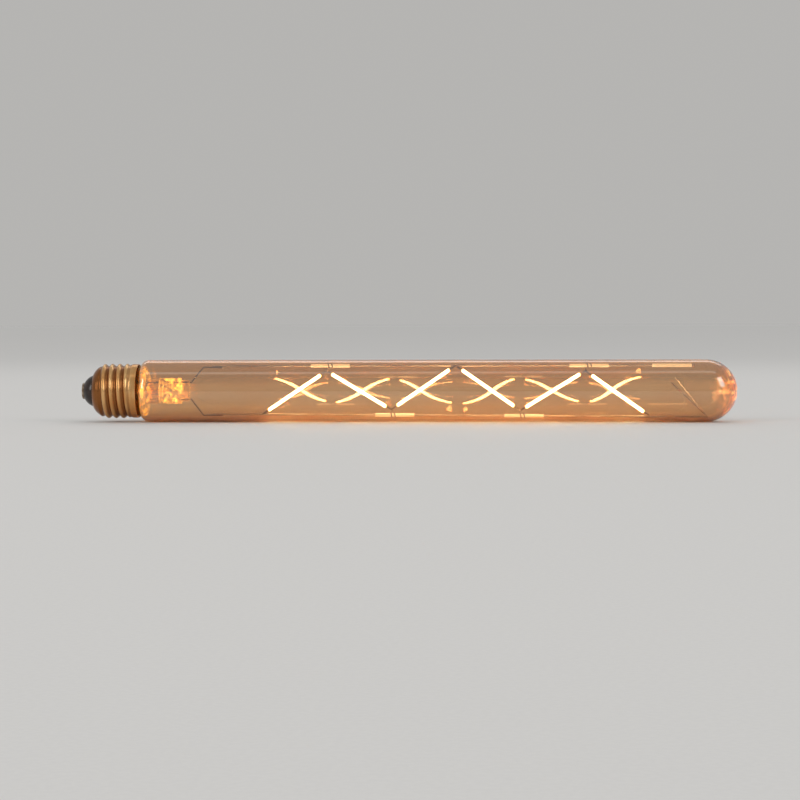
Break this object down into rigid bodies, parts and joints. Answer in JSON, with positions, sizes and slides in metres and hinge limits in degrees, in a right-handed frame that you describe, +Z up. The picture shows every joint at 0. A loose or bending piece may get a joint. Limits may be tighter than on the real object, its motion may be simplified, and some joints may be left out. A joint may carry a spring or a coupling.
{
  "type": "tubular light bulb",
  "caption": "Clear amber-gold tubular filament bulb with a brass screw cap, a glass stem and a zigzag of glowing strips hung between long support wires.",
  "frame": {"origin": "middle of the centre contact's flat face, on the bulb's axis", "axes": "+X along the bulb's axis towards the dome, +Z up with the filament zigzag upright in the XZ plane"},
  "size_m": [0.316, 0.03, 0.03],
  "materials": {
    "tinted_glass": "smooth clear amber-gold tint",
    "stem_glass": "clear, with small bubbles and fire-polished edges",
    "nickel_wire": "drawn nickel wire",
    "white_ceramic": "matt white insulating tube",
    "lit_phosphor": "phosphor coat, lit warm white",
    "nickel_tab": "thin stamped tab",
    "brass": "rolled bright brass",
    "dark_insulator": "moulded dark glass",
    "tinned_contact": "tinned and soldered",
    "cement": "baked capping cement",
    "circuit_board": "solder mask",
    "black_package": "moulded package",
    "lacquered_resistor": "lacquer coat",
    "capacitor_sleeve": "shrink sleeve",
    "tinned_wire": "tinned copper"
  },
  "bodies": {
    "root": {"bridge_rectifier": "black_package", "cap_insulator": "dark_insulator", "cap_shell": "brass", "capping_cement": "cement", "centre_contact": "tinned_contact", "centring_spring": "nickel_wire", "driver_board": "circuit_board", "driver_chip": "black_package", "filament_1": "lit_phosphor", "filament_1_terminals": "nickel_tab", "filament_2": "lit_phosphor", "filament_2_terminals": "nickel_tab", "filament_3": "lit_phosphor", "filament_3_terminals": "nickel_tab", "filament_4": "lit_phosphor", "filament_4_terminals": "nickel_tab", "filament_5": "lit_phosphor", "filament_5_terminals": "nickel_tab", "filament_6": "lit_phosphor", "filament_6_terminals": "nickel_tab", "fuse_resistor": "lacquered_resistor", "glass_envelope": "tinted_glass", "glass_stem": "stem_glass", "hook_wire_1": "nickel_wire", "hook_wire_2": "nickel_wire", "hook_wire_3": "nickel_wire", "hook_wire_4": "nickel_wire", "lead_wire_lower": "nickel_wire", "lead_wire_upper": "nickel_wire", "live_wire": "tinned_wire", "neutral_wire": "tinned_wire", "rail_sleeve_1": "white_ceramic", "rail_sleeve_2": "white_ceramic", "rail_sleeve_3": "white_ceramic", "rail_sleeve_4": "white_ceramic", "rail_sleeve_5": "white_ceramic", "smoothing_capacitor": "capacitor_sleeve", "support_rail_lower": "nickel_wire", "support_rail_upper": "nickel_wire"}
  },
  "joints": []
}
